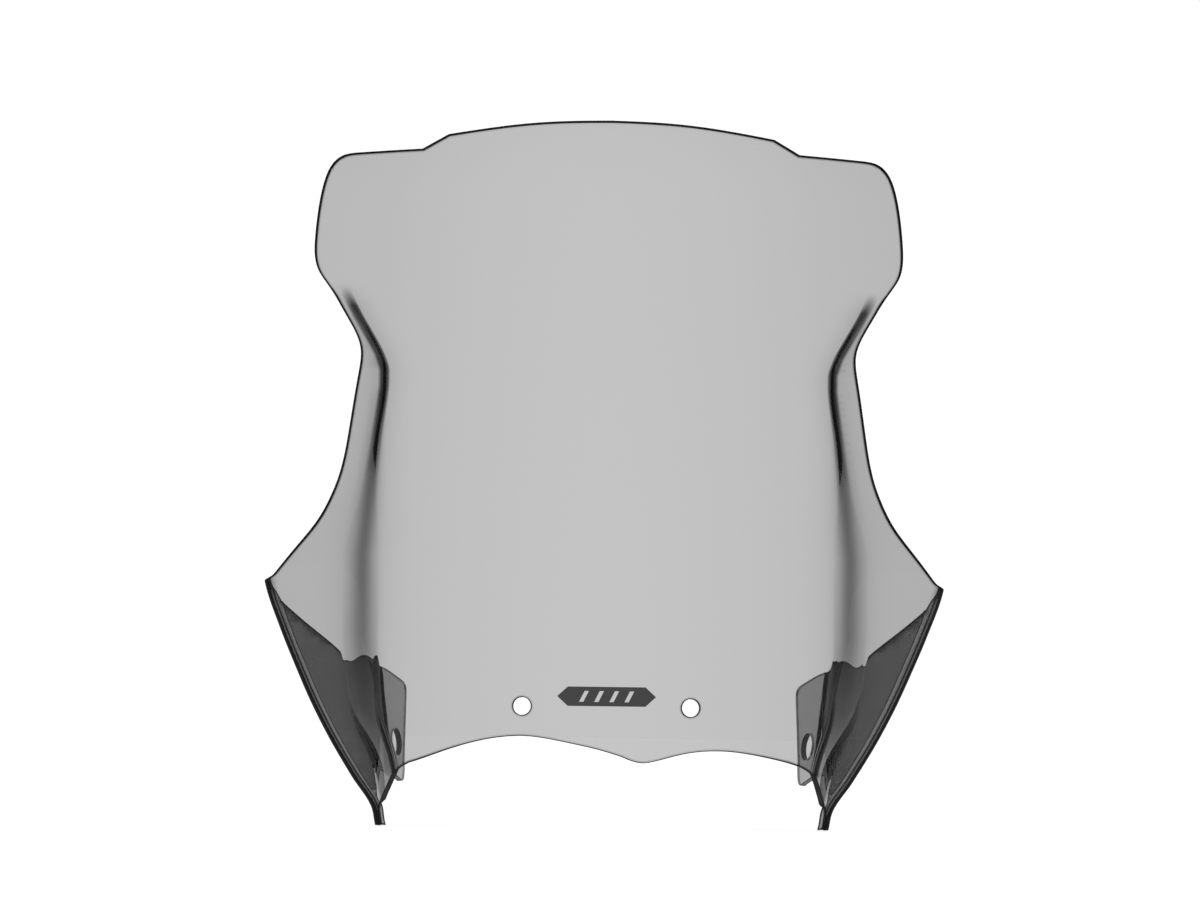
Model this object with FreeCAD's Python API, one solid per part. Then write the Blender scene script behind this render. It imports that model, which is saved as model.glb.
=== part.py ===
import FreeCAD, Part
import math
import os

# Smoke acrylic motorcycle windshield screen.
# Millimetres. X to the right seen from the front, Y back towards the rider, Z up.
# The origin is midway between the two centre bolt holes, on the front face.

V = FreeCAD.Vector

# ---- driving dimensions -------------------------------------------------
THICK = 4.0              # acrylic sheet thickness
SWEEP_R = 520.0          # radius the screen wraps round, seen from above
BOLT_X = 56.0            # half the spacing of the centre bolt holes
BOLT_R = 5.9             # radius of the centre bolt holes
FLANGE_Y = 70.0          # rear skin of the two side returns
FOLD_R = 6.5             # outer radius of the fold along each side
FOOT_R = 6.0             # front radius where the step leaves the centre panel
HEAD_R = 1.6             # front radius where the step meets the side wing
LEAD = 0.5               # smooth run-out on each side of the step
LEAN_BACK = 30.0         # how far the top leans back
LIP_BACK = 4.0           # extra flick at the very top
TAB_BEND_R = 3.0         # inside bend radius of the side bracket
TAB_ANGLE = 73.0         # turn of the side bracket tab, degrees
TAB_TILT = 7.0           # lean of the tab's bend line, degrees
BEND_X = 153.0           # where the leg's bend starts, level with BEND_Z
BEND_Z = -15.0           # level of that point
LEG_LOW = -58.0          # lower end of the bracket leg
ADJUSTER_R = 9.0         # radius of the adjuster hole in the tab
ADJUSTER_S = 14.5        # adjuster hole, distance along the tab from the bend
ADJUSTER_Q = -11.5       # adjuster hole, distance up the bend line from BEND_Z
BADGE_T = 0.4            # thickness of the applied badge
LOW_Z = -90.0            # lower limit of the working surface
HIGH_Z = 412.0           # upper limit of the working surface

# half-width of the folded side edge at each height
FOLD_LINE = [(-96, 148.4), (-81.5, 154), (-71, 156.2), (-48.5, 170.7), (-23.5, 186),
             (2, 199.5), (26, 210.4), (51.5, 221.2), (81, 231.8), (110, 237), (150, 240),
             (412, 242)]
# centre and width of the step at each height
STEP_X = [(-96, 134), (-81.5, 138.6), (-71, 141.2), (-40, 148), (0, 162), (47, 165.5),
          (101, 165.5), (142, 161.6), (182, 157), (216, 152.8), (226.5, 152.9),
          (238, 157), (251, 164.3), (263.5, 171.7), (277, 178.6), (300, 186), (412, 190)]
STEP_W = [(-96, 17), (-71, 18), (-40, 20), (0, 24), (47, 26), (101, 24), (142, 12),
          (190, 7.6), (412, 7.6)]
# height of the step above the lower returns
STEP_H = [(80, 8.5), (150, 8), (195, 6.2), (230, 5.8), (250, 5.2), (262, 4.4), (272, 2.8),
          (285, 0), (412, 0)]

# right half of the trimmed outline above the fold, x and z, top centre first
TOP_ARC = [(0, 398.5), (30, 397.8), (60, 395.8), (90, 392.1), (111.5, 389)]
TOP_STEP = [(111.5, 389), (129.2, 379)]
SHOULDER = [(129.2, 379), (152, 378.4), (175.5, 377.8)]
LOBE = [(175.5, 377.8), (184.5, 376.2), (191.5, 370.6), (196.5, 360), (200.4, 341),
        (202.4, 320), (202.4, 307), (200, 297), (195.2, 289), (188.3, 279), (181.2, 267),
        (174, 254.5), (170, 245), (168.9, 236), (171.1, 219.3), (175.1, 192),
        (178.1, 172.5), (181.8, 156.2), (187.2, 141.5), (196.2, 124.3), (210.5, 106.2),
        (224.6, 89)]
# lower edge of the centre panel, left to right, with its headlight cut-outs
LOW_LEFT = [(-130.5, -38.2), (-122, -35.4), (-105, -29.2), (-85, -23.3), (-70, -20.6),
            (-57.5, -19.7), (-45, -20.5), (-25, -24), (-5, -28.3), (10, -32.6)]
LOW_CUSP = [(10, -32.6), (16, -35), (23.6, -36.7), (31, -35.8), (38, -34)]
LOW_RIGHT = [(38, -34), (47, -31.6), (58, -29.4), (75, -28.3), (92, -29.6), (110, -32.8),
             (122, -35.6), (130.5, -38.2)]
# corner edge running out and back across the step to the lower tip
CORNER = [(130.5, -38.2), (136.7, -41.8), (142, -47.5), (145.7, -55), (148.8, -61.5),
          (151.2, -67.5)]
TIP_Z = -81.5
# free edge of the side return, from the top of the fold in to the tab, then down
RETURN_TOP = [(220, 69.5), (206, 57.5), (193, 47.2), (184, 39.9), (178, 34),
              (174.5, 30.2), (171, 29.4), (167.6, 31.4), (164, 33.4), (160.5, 33),
              (156.5, 29.9), (153, 25.6), (150.6, 22.2)]
RETURN_SIDE = [(150.6, 22.2), (149.6, 12), (149.6, -10), (150.2, -30), (151.4, -46),
               (152.2, -58)]
# tab outline: distance back from the bend, and up the bend line from BEND_Z
TAB_TOP = [(-9, 42), (14, 37.6), (32, 32.6), (42, 29.6), (46, 26.4), (46, 21.5)]
TAB_FREE = [(46, 21.5), (36, -2), (27, -24), (21.8, -36), (17.5, -38.6), (13, -37.2)]
TAB_LOW = [(13, -37.2), (-9, -29.5)]
# badge: a long plain hexagon with slanted slots
BADGE_HALF_X = 32.7
BADGE_HALF_Z = 6.4
BADGE_Z = 6.8
BADGE_POINT = 7.0
BADGE_SLOTS = [-15, -5, 5, 15]


def table(rows, z):
    """Smooth monotone value of a table at z."""
    n = len(rows)
    if z <= rows[0][0]:
        return float(rows[0][1])
    if z >= rows[n - 1][0]:
        return float(rows[n - 1][1])
    k = 0
    while rows[k + 1][0] < z:
        k += 1
    slopes = []
    for j in (k, k + 1):
        if j == 0 or j == n - 1:
            slopes.append(0.0)
            continue
        h0 = rows[j][0] - rows[j - 1][0]
        h1 = rows[j + 1][0] - rows[j][0]
        d0 = (rows[j][1] - rows[j - 1][1]) / h0
        d1 = (rows[j + 1][1] - rows[j][1]) / h1
        if d0 * d1 <= 0:
            slopes.append(0.0)
        else:
            slopes.append((h0 + h1) * 3 / ((2 * h1 + h0) / d0 + (h1 + 2 * h0) / d1))
    if k == 0:
        slopes[0] = (rows[1][1] - rows[0][1]) / (rows[1][0] - rows[0][0])
    if k == n - 2:
        slopes[1] = (rows[n - 1][1] - rows[n - 2][1]) / (rows[n - 1][0] - rows[n - 2][0])
    h = rows[k + 1][0] - rows[k][0]
    t = (z - rows[k][0]) / h
    a = (1 + 2 * t) * (1 - t) ** 2 * rows[k][1]
    b = t * (1 - t) ** 2 * h * slopes[0]
    c = t * t * (3 - 2 * t) * rows[k + 1][1]
    d = t * t * (t - 1) * h * slopes[1]
    return a + b + c + d


def smooth(t):
    t = min(max(t, 0.0), 1.0)
    return t * t * (3 - 2 * t)


def lean(z):
    """Depth the sheet gains with height on its centre line."""
    span = HIGH_Z + 80.0
    back = LEAN_BACK * ((max(z + 80.0, 0.0) / span) ** 1.6 - (80.0 / span) ** 1.6)
    flick = LIP_BACK * (max(z - 350.0, 0.0) / 47.0) ** 2
    return back + flick


def base_y(x, z):
    """Front face of the centre panel."""
    return (x * x - BOLT_X * BOLT_X) / (2 * SWEEP_R) + lean(z)


def section(z):
    """Sizes of one level section: step foot, head, height and the fold start."""
    xc = table(STEP_X, z)
    w = table(STEP_W, z)
    edge = table(FOLD_LINE, z)
    x0 = edge - FOLD_R
    for k in range(4):
        slope = math.atan(x0 / SWEEP_R)
        x0 = edge - FOLD_R * (1 - math.sin(slope))
    low = FLANGE_Y - FOLD_R * (1 + math.cos(slope)) - base_y(x0, z)
    part = smooth((z - 80.0) / 70.0)
    h = low * (1 - part) + table(STEP_H, max(z, 80.0)) * part
    return xc - w / 2, w, h, x0, slope


def step_point(w, h, s):
    """Point along an arc, line, arc step. s runs 0 to 1 by length."""
    rr = FOOT_R + HEAD_R
    run = math.sqrt(max(w * w + h * h - 2 * h * rr, 0.01))
    turn = math.atan2(h - rr, w) + math.atan2(rr, run)
    a0 = FOOT_R * turn
    a1 = HEAD_R * turn
    lead = LEAD
    far = s * (a0 + run + a1 + 2 * lead) - lead
    if far <= 0:
        return far, 0.0
    if far <= a0:
        a = far / FOOT_R
        return FOOT_R * math.sin(a), FOOT_R * (1 - math.cos(a))
    px = FOOT_R * math.sin(turn)
    py = FOOT_R * (1 - math.cos(turn))
    if far <= a0 + run:
        d = far - a0
        return px + d * math.cos(turn), py + d * math.sin(turn)
    px += run * math.cos(turn)
    py += run * math.sin(turn)
    if far <= a0 + run + a1:
        a = turn - (far - a0 - run) / HEAD_R
        px += HEAD_R * (math.sin(turn) - math.sin(a))
        py += HEAD_R * (math.cos(a) - math.cos(turn))
        return px, py
    return w + far - a0 - run - a1, h


def skin_point(u, z):
    """Front skin. u: 0-1 centre, 1-2 step, 2-3 wing, 3-4 fold, 4-5 return."""
    side = 1.0 if u >= 0 else -1.0
    u = abs(u)
    foot, w, h, x0, slope = section(z)
    if u <= 1:
        x = (foot - LEAD) * u
        return V(side * x, base_y(x, z), z)
    if u <= 2:
        dx, dy = step_point(w, h, u - 1)
        x = foot + dx
        return V(side * x, base_y(x, z) + dy, z)
    if u <= 3:
        head = foot + w + LEAD
        x = head + (x0 - head) * (u - 2)
        return V(side * x, base_y(x, z) + h, z)
    y0 = base_y(x0, z) + h
    cx = x0 - FOLD_R * math.sin(slope)
    cy = y0 + FOLD_R * math.cos(slope)
    if u <= 4:
        a = slope + (math.pi - slope) * (u - 3)
        return V(side * (cx + FOLD_R * math.sin(a)), cy - FOLD_R * math.cos(a), z)
    x = cx + (128.0 - cx) * (u - 4)
    return V(side * x, cy + FOLD_R, z)


def skin_normal(u, z):
    """Unit normal of the front skin, pointing into the sheet."""
    du = skin_point(u + 0.004, z) - skin_point(u - 0.004, z)
    dz = skin_point(u, z + 0.2) - skin_point(u, z - 0.2)
    n = dz.cross(du)
    n.normalize()
    return n


def graded(n, first, last, grow, top):
    """n + 1 values from 0 to 1 whose steps grow from both ends."""
    steps = []
    for k in range(n):
        steps.append(min(first * grow ** k, last * grow ** (n - 1 - k), top))
    total = sum(steps)
    out = [0.0]
    for d in steps:
        out.append(out[-1] + d / total)
    out[n] = 1.0
    return out


def u_stations():
    right = []
    right += [t for t in graded(16, 16.0, 1.4, 1.4, 16.0)]
    right += [1 + k / 18.0 for k in range(1, 19)]
    right += [2 + t for t in graded(10, 1.0, 1.0, 1.5, 6.0)[1:]]
    right += [3 + k / 10.0 for k in range(1, 11)]
    right += [4 + t for t in graded(7, 1.6, 12.0, 1.6, 12.0)[1:]]
    left = [-u for u in reversed(right[1:])]
    return left + right


def z_stations():
    n = 64
    return [LOW_Z + (HIGH_Z - LOW_Z) * k / n for k in range(n + 1)]


def skin_surface(depth):
    """Spline skin at a depth into the sheet below the front face."""
    rows = []
    for u in u_stations():
        row = []
        for z in z_stations():
            p = skin_point(u, z)
            if depth > 0:
                p = p + skin_normal(u, z) * depth
            row.append(p)
        rows.append(row)
    surface = Part.BSplineSurface()
    surface.interpolate(rows)
    return surface


def find_u(x, z):
    """Station on the centre, step or wing whose half-width is x at height z."""
    low = 0.0
    high = 3.0
    for k in range(40):
        mid = (low + high) / 2
        if skin_point(mid, z).x < x:
            low = mid
        else:
            high = mid
    return (low + high) / 2


def front_path(points, step=2.0):
    """Stations along a smooth outline drawn on the centre, step or wing."""
    curve = Part.BSplineCurve()
    curve.interpolate([V(x, 0, z) for x, z in points])
    count = max(int(curve.length() / step), 4)
    out = []
    for p in curve.discretize(Number=count + 1):
        side = 1.0 if p.x >= 0 else -1.0
        out.append((side * find_u(abs(p.x), p.z), p.z))
    return out


def return_path(points, step=2.0):
    """Stations along a smooth outline drawn on the side return."""
    curve = Part.BSplineCurve()
    curve.interpolate([V(x, 0, z) for x, z in points])
    count = max(int(curve.length() / step), 4)
    out = []
    for p in curve.discretize(Number=count + 1):
        x_fold = skin_point(4.0, p.z).x
        out.append((4 + (x_fold - p.x) / (x_fold - 128.0), p.z))
    return out


def outline_right():
    """Trim paths of the right half, from top centre down to the low edge."""
    paths = []
    paths.append(front_path(TOP_ARC, 6.0))
    paths.append(front_path(TOP_STEP, 2.0))
    paths.append(front_path(SHOULDER, 4.0))
    lobe = front_path(LOBE, 1.6)
    lobe += [(3.0, 85.5), (3.3, 83.8), (3.6, 81.6), (3.85, 78.8), (4.0, 76.4)]
    lobe += return_path(RETURN_TOP, 1.8)
    paths.append(lobe)
    side = return_path(RETURN_SIDE, 3.0)
    side += [(4.06, -66.0), (4.03, -74.0), (4.03, TIP_Z)]
    paths.append(side)
    paths.append([(4.03, TIP_Z), (3.8, TIP_Z), (3.55, TIP_Z), (3.3, TIP_Z), (3.1, TIP_Z)])
    corner = [(3.1, TIP_Z), (3.06, -76.0), (3.02, -72.0)]
    corner += list(reversed(front_path(CORNER, 0.9)))
    paths.append(corner)
    return paths


def outline():
    """Trim paths all the way round the sheet, clockwise from top centre."""
    right = outline_right()
    left = []
    for path in reversed(right):
        left.append([(-u, z) for u, z in reversed(path)])
    low = []
    for row in (LOW_RIGHT, LOW_CUSP, LOW_LEFT):
        low.append(list(reversed(front_path(row, 3.0))))
    return right + low + left


def between(stations, knots, value):
    """Knot value that matches a station value."""
    k = 0
    while k < len(stations) - 2 and stations[k + 1] < value:
        k += 1
    t = (value - stations[k]) / (stations[k + 1] - stations[k])
    return knots[k] + t * (knots[k + 1] - knots[k])


def locate(surface, knots_u, knots_z, u, z, depth):
    """Surface parameters of a station, by a few tangent-plane steps."""
    p = skin_point(u, z)
    if depth > 0:
        p = p + skin_normal(u, z) * depth
    a = between(u_stations(), knots_u, u)
    b = between(z_stations(), knots_z, z)
    for k in range(6):
        miss = p - surface.value(a, b)
        du = surface.getDN(a, b, 1, 0)
        dz = surface.getDN(a, b, 0, 1)
        uu = du.dot(du)
        uz = du.dot(dz)
        zz = dz.dot(dz)
        mu = miss.dot(du)
        mz = miss.dot(dz)
        det = uu * zz - uz * uz
        a += (mu * zz - mz * uz) / det
        b += (mz * uu - mu * uz) / det
    return FreeCAD.Base.Vector2d(a, b)


def trim_edge(surface, path, depth):
    """Edge on one skin that follows a path of stations."""
    knots_u = surface.getUKnots()
    knots_z = surface.getVKnots()
    flat = [locate(surface, knots_u, knots_z, u, z, depth) for u, z in path]
    curve = Part.Geom2d.BSplineCurve2d()
    curve.interpolate(flat)
    return curve.toShape(surface)


def skin_face(surface, edges):
    """Trimmed skin without the natural border of the working surface."""
    wire = Part.Wire(edges)
    wire.reverse()
    face = Part.Face(surface, [wire])
    border = [wire for wire in face.Wires if len(wire.Edges) == 4][0]
    return face.removeShape([border]).Faces[0]


def screen_panel():
    """The formed and trimmed sheet with its two centre bolt holes."""
    paths = outline()
    faces = []
    rims = []
    for depth in (0.0, THICK):
        surface = skin_surface(depth)
        edges = [trim_edge(surface, path, depth) for path in paths]
        faces.append(skin_face(surface, edges))
        rims.append(edges)
    for front, rear in zip(rims[0], rims[1]):
        faces.append(Part.makeRuledSurface(front, rear, 1))
    shell = Part.makeCompound(faces)
    shell.sewShape(0.001)
    solid = Part.makeSolid(shell.Shells[0])
    if solid.Volume < 0:
        solid.reverse()
    for side in (-1, 1):
        drill = Part.makeCylinder(BOLT_R, 20, V(side * BOLT_X, -8, 0), V(0, 1, 0))
        solid = solid.cut(drill).Solids[0]
    return solid


def tab_frame():
    """Directions of the right bracket: along the leg, up the bend, back along the tab."""
    tilt = math.radians(TAB_TILT)
    turn = math.radians(TAB_ANGLE)
    along = V(math.cos(tilt), 0, -math.sin(tilt))
    up = V(math.sin(tilt), 0, math.cos(tilt))
    back = along * -math.cos(turn) + V(0, math.sin(turn), 0)
    return along, up, back, turn


def smooth_edge(points):
    curve = Part.BSplineCurve()
    curve.interpolate(points)
    return curve.toShape()


def bracket_profile():
    """Bent strip of sheet: leg, bend and tab, drawn across the bend line."""
    along, up, back, turn = tab_frame()
    start = V(BEND_X, FLANGE_Y, BEND_Z)
    y = V(0, 1, 0)
    centre = start + y * (TAB_BEND_R + THICK)
    inward = along * math.sin(turn) + y * math.cos(turn)
    half = along * math.sin(turn / 2) + y * math.cos(turn / 2)
    outer = TAB_BEND_R + THICK
    p0 = start + along * 100
    p1 = start
    p2 = centre - half * outer
    p3 = centre - inward * outer
    p4 = p3 + back * 60
    p5 = p4 + inward * THICK
    p6 = centre - inward * TAB_BEND_R
    p7 = centre - half * TAB_BEND_R
    p8 = centre - y * TAB_BEND_R
    p9 = p0 + y * THICK
    edges = [Part.makeLine(p0, p1), Part.Arc(p1, p2, p3).toShape(), Part.makeLine(p3, p4)]
    edges += [Part.makeLine(p4, p5), Part.makeLine(p5, p6)]
    edges += [Part.Arc(p6, p7, p8).toShape(), Part.makeLine(p8, p9), Part.makeLine(p9, p0)]
    return Part.Face(Part.Wire(edges)), p3, inward


def leg_cutter():
    """Prism with the outline of the bracket leg."""
    y = FLANGE_Y - 1
    top = [V(x, y, z) for x, z in RETURN_TOP]
    outer = []
    for k in range(9):
        z = 69.5 + (LEG_LOW - 69.5) * k / 8.0
        outer.append(V(min(skin_point(4.0, z).x - 0.8, 220), y, z))
    top[0] = outer[0]
    low = [outer[-1], V(150.5, y, LEG_LOW + 1.6), V(149.4, y, -44.3), V(140, y, -43)]
    low += [V(140, y, 20), V(150.6, y, 22.2)]
    edges = [smooth_edge(top), smooth_edge(outer)]
    edges += [Part.makeLine(a, b) for a, b in zip(low[:-1], low[1:])]
    return Part.Face(Part.Wire(Part.__sortEdges__(edges))).extrude(V(0, THICK + 2, 0))


def tab_cutter(origin, inward):
    """Prism with the outline of the bracket tab, square to the tab."""
    along, up, back, turn = tab_frame()
    base = origin - inward * 5
    edges = []
    for row in (TAB_TOP, TAB_FREE, TAB_LOW):
        points = [base + back * s + up * q for s, q in row]
        if len(points) == 2:
            edges.append(Part.makeLine(points[0], points[1]))
        else:
            edges.append(smooth_edge(points))
    first = base + back * TAB_TOP[0][0] + up * TAB_TOP[0][1]
    last = base + back * TAB_LOW[1][0] + up * TAB_LOW[1][1]
    edges.append(Part.makeLine(last, first))
    return Part.Face(Part.Wire(edges)).extrude(inward * 22)


def right_bracket():
    """Side bracket bonded behind the right return, with its adjuster hole."""
    along, up, back, turn = tab_frame()
    profile, origin, inward = bracket_profile()
    profile.translate(up * -70)
    strip = profile.extrude(up * 160)
    cutters = leg_cutter().fuse(tab_cutter(origin, inward))
    body = strip.common(cutters)
    centre = origin + back * ADJUSTER_S + up * ADJUSTER_Q
    drill = Part.makeCylinder(ADJUSTER_R, 30, centre - inward * 15, inward)
    return body.cut(drill).Solids[0]


def prism(points):
    """Prism along Y through the badge area."""
    loop = [V(x, -20, z) for x, z in points]
    return Part.Face(Part.makePolygon(loop + [loop[0]])).extrude(V(0, 40, 0))


def badge():
    """Thin applied mark on the front of the centre panel."""
    rows = []
    for i in range(11):
        x = -40 + 8.0 * i
        row = []
        for j in range(6):
            z = -4 + 4.4 * j
            row.append(V(x, base_y(x, z), z))
        rows.append(row)
    surface = Part.BSplineSurface()
    surface.interpolate(rows)
    sheet = Part.Face(surface).extrude(V(0, -BADGE_T, 0))
    half = BADGE_HALF_Z
    tip = BADGE_HALF_X
    side = BADGE_HALF_X - BADGE_POINT
    hexagon = [(-tip, BADGE_Z), (-side, BADGE_Z + half), (side, BADGE_Z + half),
               (tip, BADGE_Z), (side, BADGE_Z - half), (-side, BADGE_Z - half)]
    body = sheet.common(prism(hexagon))
    for x in BADGE_SLOTS:
        low = BADGE_Z - 3.6
        high = BADGE_Z + 3.6
        slot = [(x - 3.2, low), (x - 0.4, low), (x + 3.2, high), (x + 0.4, high)]
        body = body.cut(prism(slot))
    return body.Solids[0]


def write_all():
    os.makedirs("parts", exist_ok=True)
    bracket = right_bracket()
    pieces = {
        "screen_panel": screen_panel(),
        "right_side_bracket": bracket,
        "left_side_bracket": bracket.mirror(V(0, 0, 0), V(1, 0, 0)),
        "badge": badge(),
    }
    for name, shape in pieces.items():
        if not shape.isValid():
            raise ValueError(name + " is not a valid solid")
        shape.exportStep("parts/" + name + ".step")


write_all()
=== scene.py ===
import bpy
import math
import numpy as np
from mathutils import Matrix, Vector
from mathutils.geometry import delaunay_2d_cdt


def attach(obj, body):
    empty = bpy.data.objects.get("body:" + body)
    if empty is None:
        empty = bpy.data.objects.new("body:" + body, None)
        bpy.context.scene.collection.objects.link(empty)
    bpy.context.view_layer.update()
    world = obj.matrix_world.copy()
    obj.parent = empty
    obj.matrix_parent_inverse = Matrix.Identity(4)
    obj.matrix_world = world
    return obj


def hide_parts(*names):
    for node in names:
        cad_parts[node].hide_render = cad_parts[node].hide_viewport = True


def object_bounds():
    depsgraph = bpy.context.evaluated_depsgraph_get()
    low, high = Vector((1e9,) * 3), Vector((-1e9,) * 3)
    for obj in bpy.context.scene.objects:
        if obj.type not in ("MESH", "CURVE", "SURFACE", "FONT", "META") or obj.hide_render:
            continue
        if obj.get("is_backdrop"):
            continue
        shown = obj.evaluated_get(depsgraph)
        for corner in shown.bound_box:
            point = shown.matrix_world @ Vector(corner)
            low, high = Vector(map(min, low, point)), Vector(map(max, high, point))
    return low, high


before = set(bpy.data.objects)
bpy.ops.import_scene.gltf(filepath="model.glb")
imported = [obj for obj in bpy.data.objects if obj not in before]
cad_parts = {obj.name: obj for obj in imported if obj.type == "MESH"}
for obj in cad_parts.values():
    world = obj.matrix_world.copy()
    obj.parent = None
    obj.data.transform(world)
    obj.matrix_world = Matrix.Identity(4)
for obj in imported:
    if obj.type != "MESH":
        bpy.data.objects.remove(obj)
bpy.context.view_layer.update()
MM = 0.001

# ---- dimensions, in millimetres, as in the CAD model ----------------------
THICK = 4.0
SWEEP_R = 520.0         # bow of the centre panel, seen from above
BOLT_X = 56.0           # half the spacing of the centre bolt holes
BOLT_R = 5.9
FLANGE_Y = 70.0         # rear skin of the two side returns
FOLD_R = 6.5            # outer radius of the side folds
FOOT_R = 6.0            # radii at the inner and outer end of the side steps
HEAD_R = 1.6
LEAD = 0.5              # flat run before and after a step
LEAN_BACK = 30.0        # how far the top leans back, and the curve it follows
LEAN_LOW = 80.0
LEAN_SPAN = 492.0
LEAN_POWER = 1.6
LIP_BACK = 4.0          # extra lean of the top lip, above LIP_Z
LIP_Z = 350.0
LIP_SPAN = 47.0
STEP_FADE_Z = 80.0      # where the step starts to shrink from the full wing depth
STEP_FADE_SPAN = 70.0
RETURN_END_X = 128.0    # half-width at which the return's own distance ends
TAB_BEND_R = 3.0
TAB_ANGLE = math.radians(73.0)
TAB_TILT = math.radians(7.0)
BEND_OUT = TAB_BEND_R + THICK
BEND_LONG = BEND_OUT * TAB_ANGLE
BEND_X = 153.0
BEND_Z = -15.0
LEG_HIGH = 67.5
LEG_LOW = -58.0
ADJUSTER_R = 9.0
ADJUSTER_S = 14.5
ADJUSTER_Q = -11.5
BOND = 0.15             # gap between return and bracket
EDGE_R = 0.5            # rounding of the cut edges

# rows of (height, size), and outlines as (half-width, height)
FOLD_LINE = [(-96, 148.4), (-81.5, 154), (-71, 156.2), (-48.5, 170.7), (-23.5, 186),
             (2, 199.5), (26, 210.4), (51.5, 221.2), (81, 231.8), (110, 237), (150, 240),
             (412, 242)]
STEP_X = [(-96, 134), (-81.5, 138.6), (-71, 141.2), (-40, 148), (0, 162), (47, 165.5),
          (101, 165.5), (142, 161.6), (182, 157), (216, 152.8), (226.5, 152.9),
          (238, 157), (251, 164.3), (263.5, 171.7), (277, 178.6), (300, 186), (412, 190)]
STEP_W = [(-96, 17), (-71, 18), (-40, 20), (0, 24), (47, 26), (101, 24), (142, 12),
          (190, 7.6), (412, 7.6)]
STEP_H = [(80, 8.5), (150, 8), (195, 6.2), (230, 5.8), (250, 5.2), (262, 4.4), (272, 2.8),
          (285, 0), (412, 0)]
TOP_ARC = [(0, 398.5), (30, 397.8), (60, 395.8), (90, 392.1), (111.5, 389)]
TOP_STEP = [(111.5, 389), (129.2, 379)]
SHOULDER = [(129.2, 379), (152, 378.4), (175.5, 377.8)]
LOBE = [(175.5, 377.8), (184.5, 376.2), (191.5, 370.6), (196.5, 360), (200.4, 341),
        (202.4, 320), (202.4, 307), (200, 297), (195.2, 289), (188.3, 279), (181.2, 267),
        (174, 254.5), (170, 245), (168.9, 236), (171.1, 219.3), (175.1, 192),
        (178.1, 172.5), (181.8, 156.2), (187.2, 141.5), (196.2, 124.3), (210.5, 106.2),
        (224.6, 89)]
LOW_LEFT = [(-130.5, -38.2), (-122, -35.4), (-105, -29.2), (-85, -23.3), (-70, -20.6),
            (-57.5, -19.7), (-45, -20.5), (-25, -24), (-5, -28.3), (10, -32.6)]
LOW_CUSP = [(10, -32.6), (16, -35), (23.6, -36.7), (31, -35.8), (38, -34)]
LOW_RIGHT = [(38, -34), (47, -31.6), (58, -29.4), (75, -28.3), (92, -29.6), (110, -32.8),
             (122, -35.6), (130.5, -38.2)]
CORNER = [(130.5, -38.2), (136.7, -41.8), (142, -47.5), (145.7, -55), (148.8, -61.5),
          (151.2, -67.5)]
TIP_Z = -81.5
RETURN_TOP = [(220, 69.5), (206, 57.5), (193, 47.2), (184, 39.9), (178, 34),
              (174.5, 30.2), (171, 29.4), (167.6, 31.4), (164, 33.4), (160.5, 33),
              (156.5, 29.9), (153, 25.6), (150.6, 22.2)]
RETURN_SIDE = [(150.6, 22.2), (149.6, 12), (149.6, -10), (150.2, -30), (151.4, -46),
               (152.2, -58)]
TAB_TOP = [(-9, 42), (14, 37.6), (32, 32.6), (42, 29.6), (46, 26.4), (46, 21.5)]
TAB_FREE = [(46, 21.5), (36, -2), (27, -24), (21.8, -36), (17.5, -38.6), (13, -37.2)]
TAB_LOW = [(13, -37.2), (-9, -29.5)]
BADGE_T = 0.4
BADGE_HALF_X = 32.7
BADGE_HALF_Z = 6.4
BADGE_Z = 6.8
BADGE_POINT = 7.0
BADGE_SLOTS = [-15, -5, 5, 15]
SLOT_HALF_Z = 3.6
SLOT_OUT = 3.2
SLOT_IN = 0.4

# ---- meshing: gaps and steps in millimetres -------------------------------
GRID_ACROSS = [(0, 138, 6), (138, 150, 2), (150, 185, 1.1), (185, 215, 2.4),
               (215, 235, 1.2), (235, 265, 3)]
GRID_UP = [(-81, 60, 2.5), (60, 200, 3.2), (200, 290, 2.2), (290, 397, 4)]
GRID_GAP = 0.7          # grid points keep this far from the cut edges
RING_DEPTH = 1.3        # the ring where the painted dark edge line fades out runs this far inside the rounded edge
RING_GAP = 0.22         # it keeps this far from the edges
RING_ROOM = 0.4         # and grid points this far from it
RIM_STEPS = (30, 60, 90)
ON_LOOP = 1.0           # kinds of mesh point, for the painted shade
ON_RING = 0.5

# ---- painted shade over the smoke tint: pairs of (places, values) ---------
# painted shade along the step crease: its shift, width, sharpness, darkest core and wider soft
# halo, by height
CREASE_SHADE_SHIFT = ((110, 160), (-0.4, 0.2))
CREASE_SHADE_WIDE = ((60, 110, 150, 200), (5.8, 5.4, 4.0, 2.7))
CREASE_SHADE_SHARP = ((150, 210), (2, 4))
CREASE_SHADE_CORE = ((-70, -45, -20, 10, 50, 150, 175, 200, 271, 284),
               (0.6, 0.4, 0.35, 0.5, 0.36, 0.28, 0.14, 0.03, 0.03, 1))
CREASE_SHADE_HALO = ((-20, 40, 272, 287), (1, 0.86, 0.8, 1))
# the wing past the crease is painted a little darker below this height
STEP_END = 262
# painted shade across the side folds, near black at their middle, and darker over the returns
FOLD_PAINTED_SHADE = ((213, 217, 226, 233), (1, 0.02, 0.02, 1))
RETURN_PAINTED_SHADE = ((150, 158, 168, 180), (0.66, 0.68, 0.72, 0.84))
# painted dark line along the cut edges, lighter near the middle and near black towards the sides
RIM_PAINTED_SHADE = ((90, 125), (0.6, 0.06))
# front faces across the folds take the near-black edge material, a dark sheet painted for the
# fold's shade
FOLD_SHADE_BAND = (216.2, 226.0)

# ---- floor, light and camera, in metres -----------------------------------
FLOOR_HALF = 14.0
FLOOR_GAP = 0.0005
SIDE_LIGHT = 0.4
WALL_LIGHT = 1.06
WALL_SPAN = (0.45, 0.85)
LENS = 94.6
YAW = math.radians(1.54)
CLIMB = math.radians(-4.96)
ROLL = math.radians(0.73)
AIM = Vector((-0.0064, 0, 0.1705))
AWAY = 2.1


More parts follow.
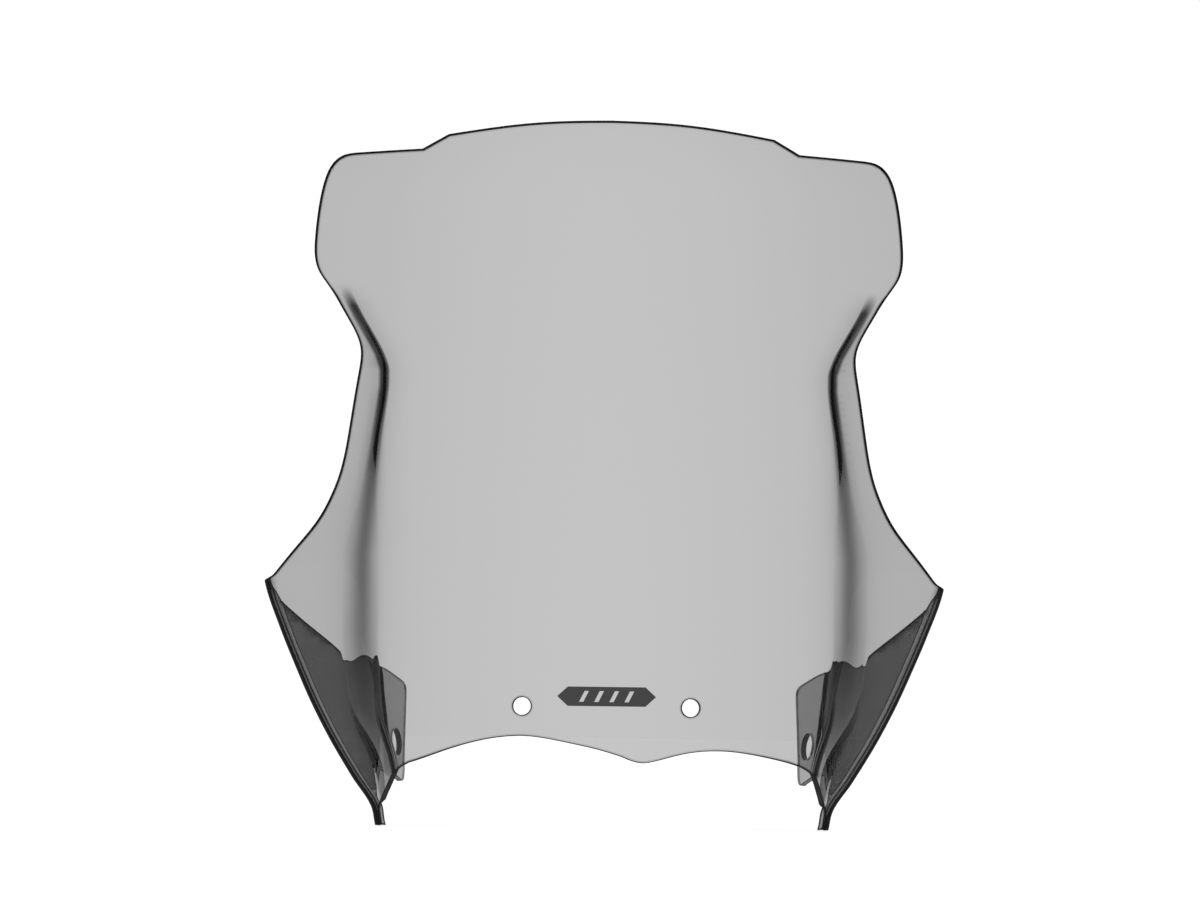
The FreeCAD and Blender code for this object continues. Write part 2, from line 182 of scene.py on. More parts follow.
# ---- the formed sheet, by formula -----------------------------------------
def slope_at(rows, j):
    """Slope of a table's smooth curve at row j."""
    if j == 0:
        return (rows[1][1] - rows[0][1]) / (rows[1][0] - rows[0][0])
    if j == len(rows) - 1:
        return (rows[j][1] - rows[j - 1][1]) / (rows[j][0] - rows[j - 1][0])
    h0 = rows[j][0] - rows[j - 1][0]
    h1 = rows[j + 1][0] - rows[j][0]
    d0 = (rows[j][1] - rows[j - 1][1]) / h0
    d1 = (rows[j + 1][1] - rows[j][1]) / h1
    if d0 * d1 <= 0:
        return 0.0
    return (h0 + h1) * 3 / ((2 * h1 + h0) / d0 + (h1 + 2 * h0) / d1)


def table(rows, z):
    """Smooth monotone value of a table at z."""
    if z <= rows[0][0]:
        return float(rows[0][1])
    if z >= rows[-1][0]:
        return float(rows[-1][1])
    k = 0
    while rows[k + 1][0] < z:
        k += 1
    h = rows[k + 1][0] - rows[k][0]
    t = (z - rows[k][0]) / h
    return ((1 + 2 * t) * (1 - t) ** 2 * rows[k][1]
            + t * (1 - t) ** 2 * h * slope_at(rows, k)
            + t * t * (3 - 2 * t) * rows[k + 1][1]
            + t * t * (t - 1) * h * slope_at(rows, k + 1))


def smooth(t):
    t = min(max(t, 0.0), 1.0)
    return t * t * (3 - 2 * t)


def lean(z):
    return LEAN_BACK * (max(z + LEAN_LOW, 0.0) / LEAN_SPAN) ** LEAN_POWER


def base_y(x, z):
    """Front face of the centre panel."""
    flick = LIP_BACK * (max(z - LIP_Z, 0.0) / LIP_SPAN) ** 2
    return (x * x - BOLT_X * BOLT_X) / (2 * SWEEP_R) + lean(z) - lean(0) + flick


levels = {}


def section(z):
    """Sizes of one level section: step foot, width, height and the fold start."""
    key = round(z, 5)
    if key not in levels:
        w = table(STEP_W, z)
        edge = table(FOLD_LINE, z)
        x0 = edge - FOLD_R
        for _ in range(4):
            slope = math.atan(x0 / SWEEP_R)
            x0 = edge - FOLD_R * (1 - math.sin(slope))
        low = FLANGE_Y - FOLD_R * (1 + math.cos(slope)) - base_y(x0, z)
        part = smooth((z - STEP_FADE_Z) / STEP_FADE_SPAN)
        h = low * (1 - part) + table(STEP_H, max(z, STEP_FADE_Z)) * part
        rr = FOOT_R + HEAD_R
        run = math.sqrt(max(w * w + h * h - 2 * h * rr, 0.01))
        turn = math.atan2(h - rr, w) + math.atan2(rr, run)
        levels[key] = (table(STEP_X, z) - w / 2, w, h, x0, slope, run, turn)
    return levels[key]


def step_point(w, h, run, turn, s):
    """Point along an arc, line, arc step. s runs 0 to 1 by length."""
    a0 = FOOT_R * turn
    a1 = HEAD_R * turn
    far = s * (a0 + run + a1 + 2 * LEAD) - LEAD
    if far <= 0:
        return far, 0.0
    if far <= a0:
        a = far / FOOT_R
        return FOOT_R * math.sin(a), FOOT_R * (1 - math.cos(a))
    px = FOOT_R * math.sin(turn)
    py = FOOT_R * (1 - math.cos(turn))
    if far <= a0 + run:
        d = far - a0
        return px + d * math.cos(turn), py + d * math.sin(turn)
    px += run * math.cos(turn)
    py += run * math.sin(turn)
    if far <= a0 + run + a1:
        a = turn - (far - a0 - run) / HEAD_R
        px += HEAD_R * (math.sin(turn) - math.sin(a))
        py += HEAD_R * (math.cos(a) - math.cos(turn))
        return px, py
    return w + far - a0 - run - a1, h


# breadths given to centre, step, wing, fold and return, so that both ways measure near alike
SPANS = [0.0, 150.0, 185.0, 215.0, 235.0, 265.0]


def to_unit(s):
    """Station number 0 to 5 for a flattened distance."""
    k = 0
    while k < 4 and s > SPANS[k + 1]:
        k += 1
    return k + (s - SPANS[k]) / (SPANS[k + 1] - SPANS[k])


def from_unit(u):
    """Flattened distance for a station number."""
    k = min(int(u), 4)
    return SPANS[k] + (u - k) * (SPANS[k + 1] - SPANS[k])


def screen_point(s, z):
    """Front skin at a flattened distance from the centre line and a height."""
    side = 1.0 if s >= 0 else -1.0
    u = to_unit(abs(s))
    foot, w, h, x0, slope, run, turn = section(z)
    if u <= 1:
        x = (foot - LEAD) * u
        return (side * x, base_y(x, z), z)
    if u <= 2:
        dx, dy = step_point(w, h, run, turn, u - 1)
        x = foot + dx
        return (side * x, base_y(x, z) + dy, z)
    if u <= 3:
        head = foot + w + LEAD
        x = head + (x0 - head) * (u - 2)
        return (side * x, base_y(x, z) + h, z)
    cx = x0 - FOLD_R * math.sin(slope)
    cy = base_y(x0, z) + h + FOLD_R * math.cos(slope)
    if u <= 4:
        a = slope + (math.pi - slope) * (u - 3)
        return (side * (cx + FOLD_R * math.sin(a)), cy - FOLD_R * math.cos(a), z)
    x = cx + (RETURN_END_X - cx) * (u - 4)
    return (side * x, cy + FOLD_R, z)


# ---- outlines -------------------------------------------------------------
def spline(points, step):
    """Even points along a smooth curve through the given ones, ends included."""
    p = np.array(points, float)
    if len(p) == 2:
        n = max(int(np.linalg.norm(p[1] - p[0]) / step), 1)
        return [tuple(p[0] + (p[1] - p[0]) * k / n) for k in range(n + 1)]
    t = np.concatenate([[0], np.cumsum(np.sqrt(np.linalg.norm(np.diff(p, axis=0), axis=1)))])
    n = len(t)
    a = np.zeros((n, n))
    r = np.zeros((n, 2))
    for i in range(1, n - 1):
        h0, h1 = t[i] - t[i - 1], t[i + 1] - t[i]
        a[i, i - 1], a[i, i], a[i, i + 1] = 1 / h0, 2 / h0 + 2 / h1, 1 / h1
        r[i] = 3 * ((p[i] - p[i - 1]) / h0 ** 2 + (p[i + 1] - p[i]) / h1 ** 2)
    a[0, 0], a[0, 1], r[0] = 2, 1, 3 * (p[1] - p[0]) / (t[1] - t[0])
    a[-1, -1], a[-1, -2], r[-1] = 2, 1, 3 * (p[-1] - p[-2]) / (t[-1] - t[-2])
    d = np.linalg.solve(a, r)
    dense = []
    for i in range(n - 1):
        h = t[i + 1] - t[i]
        for q in np.linspace(0, 1, 24, endpoint=False):
            dense.append((1 + 2 * q) * (1 - q) ** 2 * p[i] + q * (1 - q) ** 2 * h * d[i]
                         + q * q * (3 - 2 * q) * p[i + 1] + q * q * (q - 1) * h * d[i + 1])
    dense = np.array(dense + [p[-1]])
    gone = np.concatenate([[0], np.cumsum(np.linalg.norm(np.diff(dense, axis=0), axis=1))])
    count = max(int(gone[-1] / step), 2)
    want = np.linspace(0, gone[-1], count + 1)
    return list(zip(np.interp(want, gone, dense[:, 0]), np.interp(want, gone, dense[:, 1])))


def find_s(x, z):
    """Flattened distance at which the front skin has that half-width."""
    low, high = 0.0, SPANS[3]
    for _ in range(36):
        mid = (low + high) / 2
        if screen_point(mid, z)[0] < x:
            low = mid
        else:
            high = mid
    return (low + high) / 2


def front_path(points, step):
    """Front outline as flattened distances and heights."""
    return [(math.copysign(find_s(abs(x), z), x), z) for x, z in spline(points, step)]


def return_path(points, step):
    """Outline of a return, given by half-width, as flattened distances and heights."""
    out = []
    for x, z in spline(points, step):
        fold = screen_point(SPANS[4], z)[0]
        out.append((from_unit(4 + (fold - x) / (fold - RETURN_END_X)), z))
    return out


def bridge(points, step=1.2):
    """Stations given by number and height, made even."""
    return spline([(from_unit(u), z) for u, z in points], step)


def screen_outline():
    right = front_path(TOP_ARC, 4.0) + front_path(TOP_STEP, 1.5)[1:]
    right += front_path(SHOULDER, 3.0)[1:] + front_path(LOBE, 1.2)[1:]
    end = to_unit(right[-1][0])
    over = [(end, right[-1][1]), (3.0, 85.5), (3.3, 83.8), (3.6, 81.6), (3.85, 78.8),
            (4.0, 76.4)]
    right += bridge(over)[1:]
    right += return_path(RETURN_TOP, 1.2) + return_path(RETURN_SIDE, 2.0)[1:]
    right += bridge([(4.08, -62.0), (4.06, -68.0), (4.03, -74.0), (4.03, TIP_Z)], 1.5)
    right += bridge([(4.03, TIP_Z), (3.1, TIP_Z)])[1:]
    right += bridge([(3.1, TIP_Z), (3.06, -76.0), (3.02, -72.0)])[1:]
    right += list(reversed(front_path(CORNER, 0.8)))
    low = []
    for row in (LOW_RIGHT, LOW_CUSP, LOW_LEFT):
        low += list(reversed(front_path(row, 2.0)))[1:]
    left = [(-s, z) for s, z in reversed(right)]
    return right + low + left[1:-1]


# ---- turning a skin formula into a finished sheet -------------------------
def area_of(loop):
    p = np.array(loop)
    q = np.roll(p, -1, axis=0)
    return 0.5 * float(np.sum(p[:, 0] * q[:, 1] - q[:, 0] * p[:, 1]))


def inside(loop, pts):
    """Which points lie inside a closed loop."""
    p = np.array(loop)
    q = np.roll(p, -1, axis=0)
    hit = np.zeros(len(pts), bool)
    for (x0, y0), (x1, y1) in zip(p, q):
        if y0 == y1:
            continue
        cross = (y0 > pts[:, 1]) != (y1 > pts[:, 1])
        hit ^= cross & (pts[:, 0] < (x1 - x0) * (pts[:, 1] - y0) / (y1 - y0) + x0)
    return hit


def within(loops, pts):
    """Which points lie inside the outline and outside the holes."""
    keep = inside(loops[0], pts)
    for loop in loops[1:]:
        keep &= ~inside(loop, pts)
    return keep


def away_from(loops, pts, gap):
    """Which points are further than gap from every loop."""
    keep = np.ones(len(pts), bool)
    for loop in loops:
        p = np.array(loop)
        q = np.roll(p, -1, axis=0)
        for a, b in zip(p, q):
            near = ((pts[:, 0] > min(a[0], b[0]) - gap) & (pts[:, 0] < max(a[0], b[0]) + gap)
                    & (pts[:, 1] > min(a[1], b[1]) - gap) & (pts[:, 1] < max(a[1], b[1]) + gap))
            if not near.any():
                continue
            c = pts[near] - a
            d = b - a
            t = np.clip(c @ d / max(d @ d, 1e-9), 0, 1)
            keep[near] &= np.linalg.norm(c - t[:, None] * d, axis=1) > gap
    return keep


class Skin:
    """A skin given by a formula, with its normal pointing into the sheet."""

    def __init__(self, formula, flip=1.0):
        self.formula = formula
        self.flip = flip

    def at(self, pts):
        return np.array([self.formula(a, b) for a, b in pts], float)

    def slopes(self, pts, d=0.02):
        pa = self.at([(a + d, b) for a, b in pts])
        ma = self.at([(a - d, b) for a, b in pts])
        pb = self.at([(a, b + d) for a, b in pts])
        mb = self.at([(a, b - d) for a, b in pts])
        return (pa - ma) / (2 * d), (pb - mb) / (2 * d)

    def normals(self, pts):
        da, db = self.slopes(pts)
        n = np.cross(db, da) * self.flip
        return n / np.linalg.norm(n, axis=1)[:, None]


def wind(loops):
    """The loops as arrays, the outline turned one way and the holes the other."""
    out = []
    for k, loop in enumerate(loops):
        turn = (area_of(loop) < 0) == (k == 0)
        out.append(np.array(loop[::-1] if turn else loop, float))
    return out


def edge_frame(skin, pts):
    """Places, normals and inward directions along a cut edge."""
    p = skin.at(pts)
    n = skin.normals(pts)
    along = np.roll(p, -1, axis=0) - np.roll(p, 1, axis=0)
    w = np.cross(along, n) * skin.flip
    w /= np.linalg.norm(w, axis=1)[:, None]
    return p, n, w


def shift_inwards(skin, pts, w, far):
    """Change in the skin's two distances that moves each point by far along w."""
    da, db = skin.slopes(pts)
    aa, ab, bb = (da * da).sum(1), (da * db).sum(1), (db * db).sum(1)
    wa, wb = (w * da).sum(1) * far, (w * db).sum(1) * far
    det = aa * bb - ab * ab
    return np.stack([(wa * bb - wb * ab) / det, (wb * aa - wa * ab) / det], axis=1)


def triangulate(loops, pts):
    """New points, the triangles between the loops, and each given point's new number."""
    flat = np.concatenate(loops + [pts])
    edges = []
    start = 0
    for loop in loops:
        n = len(loop)
        edges += [(start + i, start + (i + 1) % n) for i in range(n)]
        start += n
    out = delaunay_2d_cdt([Vector(v) for v in flat], edges, [], 0, 1e-6, True)
    flat = np.array([tuple(v) for v in out[0]])
    tris = np.array([f for f in out[2] if len(f) == 3])
    tris = tris[within(loops, flat[tris].mean(axis=1))]
    home = {}
    for new, old in enumerate(out[3]):
        for o in old:
            home[o] = new
    return flat, tris, home


def rounded_rims(rims, home, count, thick, round_r):
    """Rings of points, their normals, and the quads that join front to back at each loop."""
    verts = []
    norms = []
    quads = []
    total = 2 * count
    start = 0
    for p, n, w in rims:
        m = len(p)
        rings = [[home[start + i] for i in range(m)]]
        for front_side in (True, False):
            for angle in RIM_STEPS if front_side else reversed(RIM_STEPS):
                s, c = math.sin(math.radians(angle)), math.cos(math.radians(angle))
                depth = round_r * (1 - c) if front_side else thick - round_r * (1 - c)
                verts.append(p + w * round_r * (1 - s) + n * depth)
                norms.append(-w * s + n * (-c if front_side else c))
                rings.append([total + i for i in range(m)])
                total += m
        rings.append([home[start + i] + count for i in range(m)])
        for r0, r1 in zip(rings[:-1], rings[1:]):
            for i in range(m):
                j = (i + 1) % m
                quads.append((r0[i], r1[i], r1[j], r0[j]))
        start += m
    return verts, norms, quads


# the sheet's clearness, with its painted shade, stored as a mesh attribute
def write_painted_shade(mesh, painted_shade):
    clear_with_painted_shade = mesh.attributes.new("clear_with_painted_shade", "FLOAT", "POINT")
    clear_with_painted_shade.data.foreach_set("value", painted_shade)


def solid_sheet(name, skin, loops, grid, thick, round_r, painted_shade=None, shade_band=(0, 0)):
    """Closed mesh of a bent sheet with rounded cut edges.

    loops are the outline and the holes, in the skin's own two distances. The rim's faces
    get material slot 1, and so do the front faces whose first distance lies in the shade band,
    where a fold is painted dark for its shade. The painted shade function gives how clear the
    tinted sheet is at each point, darker where shade falls along bends and edges.
    """
    loops = wind(loops)
    rims = [edge_frame(skin, loop) for loop in loops]
    moves = [shift_inwards(skin, loop, rim[2], round_r) for loop, rim in zip(loops, rims)]
    inset = [loop + move for loop, move in zip(loops, moves)]
    pts = np.array(grid, float)
    pts = pts[within(inset, pts) & away_from(inset, pts, GRID_GAP)]
    ring = np.zeros((0, 2))
    # a ring of points inside the edge, where the painted dark edge line fades out
    if painted_shade:
        far = 1 + RING_DEPTH / round_r
        rings = [loop + move * far for loop, move in zip(loops, moves)]
        ring = np.concatenate(rings)
        ring = ring[inside(inset[0], ring)]
        ring = ring[away_from(inset, ring, RING_GAP)]
        pts = pts[away_from(rings, pts, RING_ROOM)]
    flat, tris, home = triangulate(inset, np.concatenate([pts, ring]))

    count = len(flat)
    front = skin.at(flat)
    n = skin.normals(flat)
    corner = front[tris]
    facing = np.cross(corner[:, 1] - corner[:, 0], corner[:, 2] - corner[:, 0])
    wrong = (facing * n[tris[:, 0]]).sum(1) > 0
    tris[wrong] = tris[wrong][:, ::-1]
    rim_verts, rim_norms, quads = rounded_rims(rims, home, count, thick, round_r)
    verts = np.concatenate([front, front + n * thick] + rim_verts) * MM
    norms = np.concatenate([-n, n] + rim_norms)
    last = quads[-1]
    v = verts[list(last)]
    if np.cross(v[1] - v[0], v[2] - v[0]) @ norms[last[1]] < 0:
        quads = [quad[::-1] for quad in quads]
    faces = tris.tolist() + (tris[:, ::-1] + count).tolist() + quads
    reach = np.abs(flat[tris].mean(axis=1)[:, 0])
    slots = [int(shade_band[0] < r < shade_band[1]) for r in reach] + [0] * len(tris) + [1] * len(quads)

    mesh = bpy.data.meshes.new(name)
    mesh.from_pydata(verts.tolist(), [], faces)
    mesh.polygons.foreach_set("use_smooth", [True] * len(faces))
    mesh.polygons.foreach_set("material_index", slots)
    mesh.validate()
    mesh.normals_split_custom_set_from_vertices(norms.tolist())
    # the painted shade goes on both skins; the dark edge line sits on the loop points
    if painted_shade:
        kind = np.zeros(count)
        on_loop = sum(len(loop) for loop in inset)
        in_sheet = on_loop + len(pts)
        kind[[home[i] for i in range(in_sheet, in_sheet + len(ring))]] = ON_RING
        kind[[home[i] for i in range(on_loop)]] = ON_LOOP
        rim_tone = np.ones(len(verts) - 2 * count)
        write_painted_shade(mesh, np.concatenate([painted_shade(flat, front, kind)] * 2 + [rim_tone]))
    piece = bpy.data.objects.new(name, mesh)
    bpy.context.scene.collection.objects.link(piece)
    return piece


# ---- the pieces -----------------------------------------------------------
def gauss(d, wide, power=2):
    return np.exp(-0.5 * (d / wide) ** power)


def screen_painted_shade(flat, front, kind):
    """How clear the smoke tint is, with painted shade: darker along the step crease, towards the
    sides, on the wing, across the folds and returns, and along the cut edges.
    """
    s = np.abs(flat[:, 0])
    x = np.abs(front[:, 0])
    z = front[:, 2]
    crease = np.interp(z, [p[0] for p in STEP_X], [p[1] for p in STEP_X])
    d = np.abs(x - crease - np.interp(z, *CREASE_SHADE_SHIFT))
    wide = np.interp(z, *CREASE_SHADE_WIDE)
    core = np.interp(z, *CREASE_SHADE_CORE)
    halo = np.interp(z, *CREASE_SHADE_HALO)
    # painted shade: a little darker towards the sides
    clear_with_painted_shade = 1 - 0.06 * np.clip(x / 150.0, 0, 1) ** 2
    # painted shade along the step crease: a sharp dark core and a wider soft halo
    clear_with_painted_shade = clear_with_painted_shade * (1 - (1 - core) * gauss(d, wide, np.interp(z, *CREASE_SHADE_SHARP)))
    clear_with_painted_shade = clear_with_painted_shade * (1 - (1 - halo) * gauss(d, 3 + 2 * wide))
    # painted shade: the wing past the crease a little darker below STEP_END
    wing_shade = np.clip((x - crease) / 8.0, 0, 1)
    clear_with_painted_shade = clear_with_painted_shade * np.where(z < STEP_END, 1 - 0.12 * wing_shade, 1)
    # painted shade across the side folds and over the returns
    fold = np.interp(s, *FOLD_PAINTED_SHADE) * np.where(s > 226, np.interp(x, *RETURN_PAINTED_SHADE), 1)
    # painted dark line on the cut-edge points, lighter on the lower returns; the ring inside the
    # upper returns' edges is painted darker too
    rim = np.interp(x, *RIM_PAINTED_SHADE)
    rim = np.where((s > 240) & (z < 34), 0.7, rim)
    ring = np.where((s > 230) & (z > 40), 0.4, 1.0)
    return clear_with_painted_shade * fold * np.select([kind == ON_LOOP, kind == ON_RING], [rim, ring], 1.0)


def stretch(parts):
    """Grid lines from (low, high, step) runs."""
    out = []
    for low, high, step in parts:
        n = max(int(round((high - low) / step)), 1)
        out += [low + (high - low) * k / n for k in range(n)]
    return out + [parts[-1][1]]


def screen():
    half = stretch(GRID_ACROSS)
    across = [-s for s in reversed(half[1:])] + half
    grid = []
    for j, z in enumerate(stretch(GRID_UP)):
        shift = 0.25 * (j % 2)
        grid += [(s + shift, z) for s in across]
    loops = [screen_outline()]
    for side in (-1, 1):
        hole = []
        for k in range(40):
            t = 2 * math.pi * k / 40
            x = side * BOLT_X + BOLT_R * math.cos(t)
            z = BOLT_R * math.sin(t)
            hole.append((math.copysign(find_s(abs(x), z), x), z))
        loops.append(hole)
    return solid_sheet("screen", Skin(screen_point), loops, grid, THICK, EDGE_R, screen_painted_shade,
                       FOLD_SHADE_BAND)


def bracket_frame():
    along = np.array([math.cos(TAB_TILT), 0, -math.sin(TAB_TILT)])
    up = np.array([math.sin(TAB_TILT), 0, math.cos(TAB_TILT)])
    y = np.array([0, 1.0, 0])
    back = -along * math.cos(TAB_ANGLE) + y * math.sin(TAB_ANGLE)
    start = np.array([BEND_X, FLANGE_Y + BOND, BEND_Z])
    return along, up, y, back, start


def bracket_point(side):
    along, up, y, back, start = bracket_frame()
    centre = start + y * BEND_OUT

    def formula(s, q):
        if s <= 0:
            p = start - along * s
        elif s <= BEND_LONG:
            a = s / BEND_OUT
            p = centre - (along * math.sin(a) + y * math.cos(a)) * BEND_OUT
        else:
            p = centre - (along * math.sin(TAB_ANGLE) + y * math.cos(TAB_ANGLE)) * BEND_OUT
            p = p + back * (s - BEND_LONG)
        p = p + up * q
        return (side * p[0], p[1], p[2])
    return formula


def leg_station(x, z):
    """Developed distances of a point on the bracket leg."""
    along, up, y, back, start = bracket_frame()
    d = np.array([x, start[1], z]) - start
    return (-float(d @ along), float(d @ up))


def tab_path(points, step):
    return list(reversed(spline([(s + BEND_LONG, q) for s, q in points], step)))


def bracket(name, side):
    outer = []
    for k in range(25):
        z = LEG_HIGH + (LEG_LOW - LEG_HIGH) * k / 24.0
        outer.append(leg_station(min(screen_point(SPANS[4], z)[0] - 0.8, 220), z))
    low = spline([outer[-1], leg_station(150.5, LEG_LOW + 1.6)], 2.0)
    tab_low = [p for p in tab_path(TAB_LOW, 2.0) if p[0] > low[-1][0] + 1.5]
    tab_top = [p for p in tab_path(TAB_TOP, 1.5) if p[0] > 1.0]
    wavy = [leg_station(x, z) for x, z in reversed(spline(RETURN_TOP, 1.5))]
    wavy = [p for p in wavy if p[0] < -3.0]
    loop = outer[1:] + low[1:] + tab_low + tab_path(TAB_FREE, 1.5)[1:] + tab_top[1:] + wavy
    hole = []
    for k in range(48):
        t = 2 * math.pi * k / 48
        hole.append((ADJUSTER_S + BEND_LONG + ADJUSTER_R * math.cos(t),
                     ADJUSTER_Q + ADJUSTER_R * math.sin(t)))
    grid = []
    for s in stretch([(-80, -2, 4), (-2, BEND_LONG + 2, 1.0), (BEND_LONG + 2, 60, 4)]):
        grid += [(s, q) for q in stretch([(-60, 90, 4)])]
    return solid_sheet(name, Skin(bracket_point(side), -side), [loop, hole], grid, THICK, EDGE_R)


def badge_point(x, z):
    return (x, base_y(x, z) - BADGE_T, z)


def polygon(corners, step):
    loop = []
    for a, b in zip(corners, corners[1:] + corners[:1]):
        loop += spline([a, b], step)[:-1]
    return loop


def badge():
    tip = BADGE_HALF_X
    flat = tip - BADGE_POINT
    low, high = BADGE_Z - BADGE_HALF_Z, BADGE_Z + BADGE_HALF_Z
    loops = [polygon([(-tip, BADGE_Z), (-flat, high), (flat, high),
                      (tip, BADGE_Z), (flat, low), (-flat, low)], 2.0)]
    low, high = BADGE_Z - SLOT_HALF_Z, BADGE_Z + SLOT_HALF_Z
    for x in BADGE_SLOTS:
        loops.append(polygon([(x - SLOT_OUT, low), (x - SLOT_IN, low),
                              (x + SLOT_OUT, high), (x + SLOT_IN, high)], 1.4))
    grid = [(x, z) for x in stretch([(-33, 33, 3)]) for z in stretch([(0, 13.5, 2.5)])]
    return solid_sheet("badge_plate", Skin(badge_point), loops, grid, BADGE_T - 0.02, 0.1)


# ---- materials ------------------------------------------------------------
def start_material(name):
    m = bpy.data.materials.new(name)
    m.use_nodes = True
    nt = m.node_tree
    return m, nt, nt.nodes["Principled BSDF"], nt.nodes.new("ShaderNodeTexCoord")


def noise(nt, place, scale, detail):
    node = nt.nodes.new("ShaderNodeTexNoise")
    node.inputs["Scale"].default_value = scale
    node.inputs["Detail"].default_value = detail
    nt.links.new(place.outputs["Object"], node.inputs["Vector"])
    return node.outputs["Fac"]


def spread(nt, value, low, high, socket, span=(0.0, 1.0)):
    """Drive a socket from low to high by a value."""
    node = nt.nodes.new("ShaderNodeMapRange")
    node.inputs["From Min"].default_value = span[0]
    node.inputs["From Max"].default_value = span[1]
    node.inputs["To Min"].default_value = low
    node.inputs["To Max"].default_value = high
    nt.links.new(value, node.inputs["Value"])
    nt.links.new(node.outputs["Result"], socket)
    return node


def bump(nt, height, strength, distance, shader):
    node = nt.nodes.new("ShaderNodeBump")
    node.inputs["Strength"].default_value = strength
    node.inputs["Distance"].default_value = distance
    nt.links.new(height, node.inputs["Height"])
    nt.links.new(node.outputs["Normal"], shader.inputs["Normal"])


def acrylic(name, rough_low, rough_high, grain, wave, shade=None):
    """See-through smoke acrylic with faint waves and fine scuffs.

    The tint's strength comes from the mesh's attribute values, which hold painted shade along
    bends and edges, or is shade all over.
    """
    m, nt, shader, place = start_material(name)
    # base colour from the mesh attribute that holds the painted shade
    if shade is None:
        clear_with_painted_shade = nt.nodes.new("ShaderNodeAttribute")
        clear_with_painted_shade.attribute_name = "clear_with_painted_shade"
        nt.links.new(clear_with_painted_shade.outputs["Fac"], shader.inputs["Base Color"])
    else:
        shader.inputs["Base Color"].default_value = (shade, shade, shade, 1)
    shader.inputs["Transmission Weight"].default_value = 1.0
    shader.inputs["IOR"].default_value = 1.25
    scuffs = noise(nt, place, grain, 4.0)
    spread(nt, scuffs, rough_low, rough_high, shader.inputs["Roughness"], (0.35, 0.75))
    bump(nt, noise(nt, place, 9.0, 1.0), wave, 0.002, shader)
    tint = nt.nodes.new("ShaderNodeVolumeAbsorption")
    tint.inputs["Color"].default_value = (0.0, 0.0, 0.0, 1)
    tint.inputs["Density"].default_value = 166.0
    nt.links.new(tint.outputs["Volume"], nt.nodes["Material Output"].inputs["Volume"])
    return m


def painted_dark_edge(name):
    """Near-black opaque cut edge, painted dark to stand for the shade seen along the edges and
    also laid over the front of the side folds, with fine saw and polishing marks along it.
    """
    m, nt, shader, place = start_material(name)
    shader.inputs["Specular IOR Level"].default_value = 0.03
    marks = noise(nt, place, 700.0, 3.0)
    spread(nt, marks, 0.004, 0.012, shader.inputs["Base Color"])
    spread(nt, marks, 0.35, 0.6, shader.inputs["Roughness"])
    bump(nt, marks, 0.15, 0.0003, shader)
    return m


def film(name):
    """Dark satin badge film with a fine grain."""
    m, nt, shader, place = start_material(name)
    fine = noise(nt, place, 900.0, 3.0)
    spread(nt, fine, 0.018, 0.03, shader.inputs["Base Color"])
    spread(nt, fine, 0.32, 0.5, shader.inputs["Roughness"])
    return m


# the screen's cut edges and fold fronts take the near-black edge, painted for the shade there
sheet_skins = (acrylic("smoke_acrylic", 0.005, 0.02, 60.0, 0.02), painted_dark_edge("smoke_acrylic_painted_dark_edge"))
# the bracket's cut edges are painted dark (shade 0.2) to stand for the shade along them; its
# faces keep an even tint of 0.86
tab_skins = (acrylic("smoke_acrylic_tab", 0.005, 0.02, 60.0, 0.02, 0.86),
             acrylic("smoke_acrylic_tab_painted_dark_edge", 0.05, 0.14, 400.0, 0.05, 0.2))
badge_film = film("badge_film")

made = [
    (screen(), "screen_panel", "smoke_acrylic", sheet_skins),
    (bracket("bracket_right", 1.0), "right_side_bracket", "smoke_acrylic", tab_skins),
    (bracket("bracket_left", -1.0), "left_side_bracket", "smoke_acrylic", tab_skins),
    (badge(), "badge", "badge_film", (badge_film, badge_film)),
]
for piece, node, slot, skins in made:
    for skin in skins:
        piece.data.materials.append(skin)
    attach(piece, "root")
    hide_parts(node)


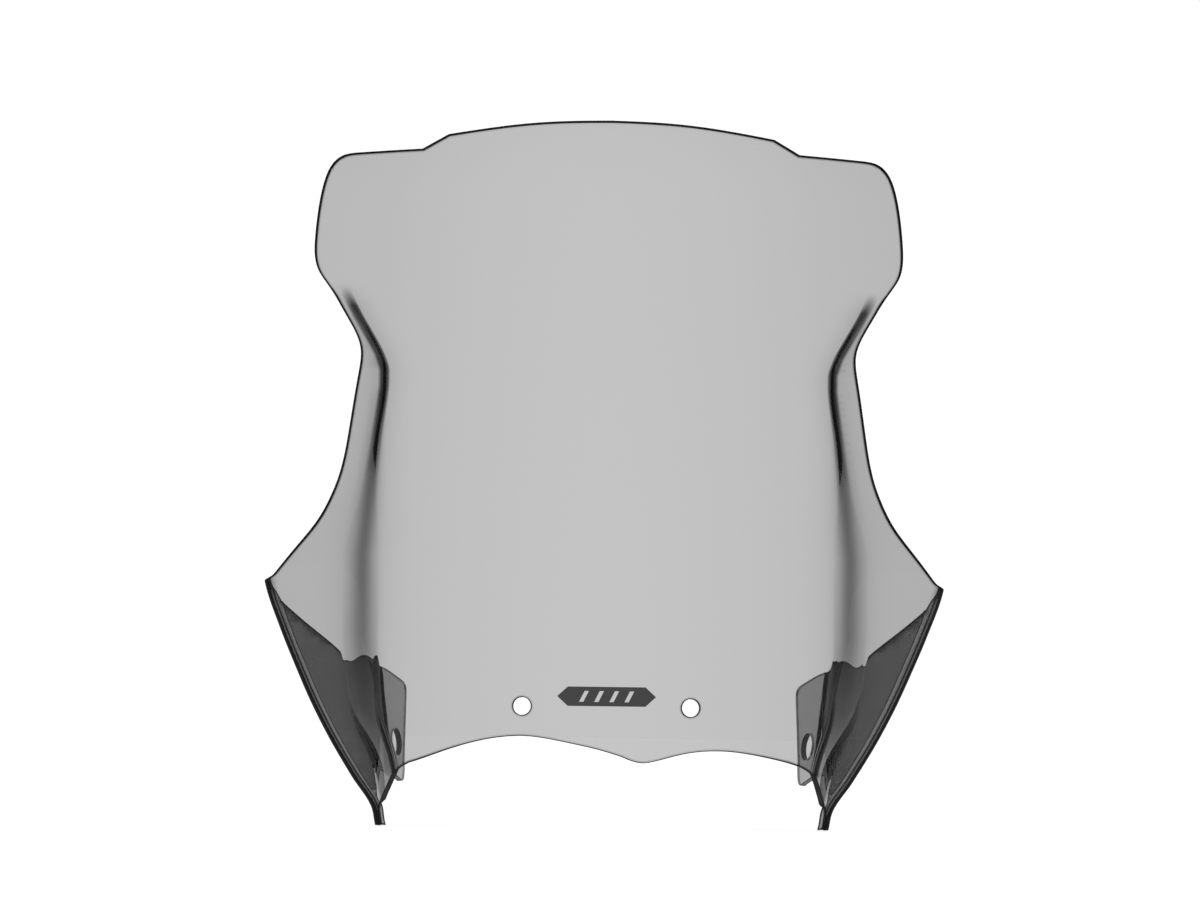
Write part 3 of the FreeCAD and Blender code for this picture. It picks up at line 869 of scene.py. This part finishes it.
# ---- floor, light and camera ----------------------------------------------
def floor():
    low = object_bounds()[0]
    r = FLOOR_HALF
    mesh = bpy.data.meshes.new("floor")
    mesh.from_pydata([(-r, -r, 0), (r, -r, 0), (r, r, 0), (-r, r, 0)], [], [(0, 1, 2, 3)])
    ob = bpy.data.objects.new("floor", mesh)
    ob.location = (0, 0, low.z - FLOOR_GAP)
    bpy.context.scene.collection.objects.link(ob)
    m = bpy.data.materials.new("floor_white")
    m.use_nodes = True
    shader = m.node_tree.nodes["Principled BSDF"]
    shader.inputs["Base Color"].default_value = (0.6, 0.6, 0.6, 1)
    shader.inputs["Roughness"].default_value = 0.9
    shader.inputs["Specular IOR Level"].default_value = 0.0
    shader.inputs["Emission Color"].default_value = (1, 1, 1, 1)
    shader.inputs["Emission Strength"].default_value = 0.75
    mesh.materials.append(m)
    ob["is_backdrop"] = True


def light():
    """A white studio: bright walls before and behind the object, dimmer sides and ceiling."""
    world = bpy.data.worlds.new("studio")
    bpy.context.scene.world = world
    world.use_nodes = True
    nt = world.node_tree
    back = nt.nodes["Background"]
    place = nt.nodes.new("ShaderNodeTexCoord")
    parts = nt.nodes.new("ShaderNodeSeparateXYZ")
    nt.links.new(place.outputs["Generated"], parts.inputs["Vector"])
    size = nt.nodes.new("ShaderNodeMath")
    size.operation = "ABSOLUTE"
    nt.links.new(parts.outputs["Y"], size.inputs[0])
    ramp = spread(nt, size.outputs["Value"], SIDE_LIGHT, WALL_LIGHT, back.inputs["Strength"],
                  WALL_SPAN)
    ramp.interpolation_type = "SMOOTHSTEP"
    back.inputs["Color"].default_value = (1, 1, 1, 1)


def camera():
    data = bpy.data.cameras.new("camera")
    cam = bpy.data.objects.new("camera", data)
    bpy.context.scene.collection.objects.link(cam)
    data.sensor_width = 36.0
    data.lens = LENS
    side = math.cos(CLIMB)
    toward = Vector((-math.sin(YAW) * side, -math.cos(YAW) * side, math.sin(CLIMB)))
    cam.location = AIM + toward * AWAY
    turn = (AIM - cam.location).to_track_quat("-Z", "Y")
    cam.rotation_mode = "QUATERNION"
    cam.rotation_quaternion = (turn.to_matrix() @ Matrix.Rotation(ROLL, 3, "Z")).to_quaternion()
    data.clip_start = 0.05
    data.clip_end = 60.0
    bpy.context.scene.camera = cam


floor()
light()
camera()
bpy.context.scene.view_settings.view_transform = "Standard"
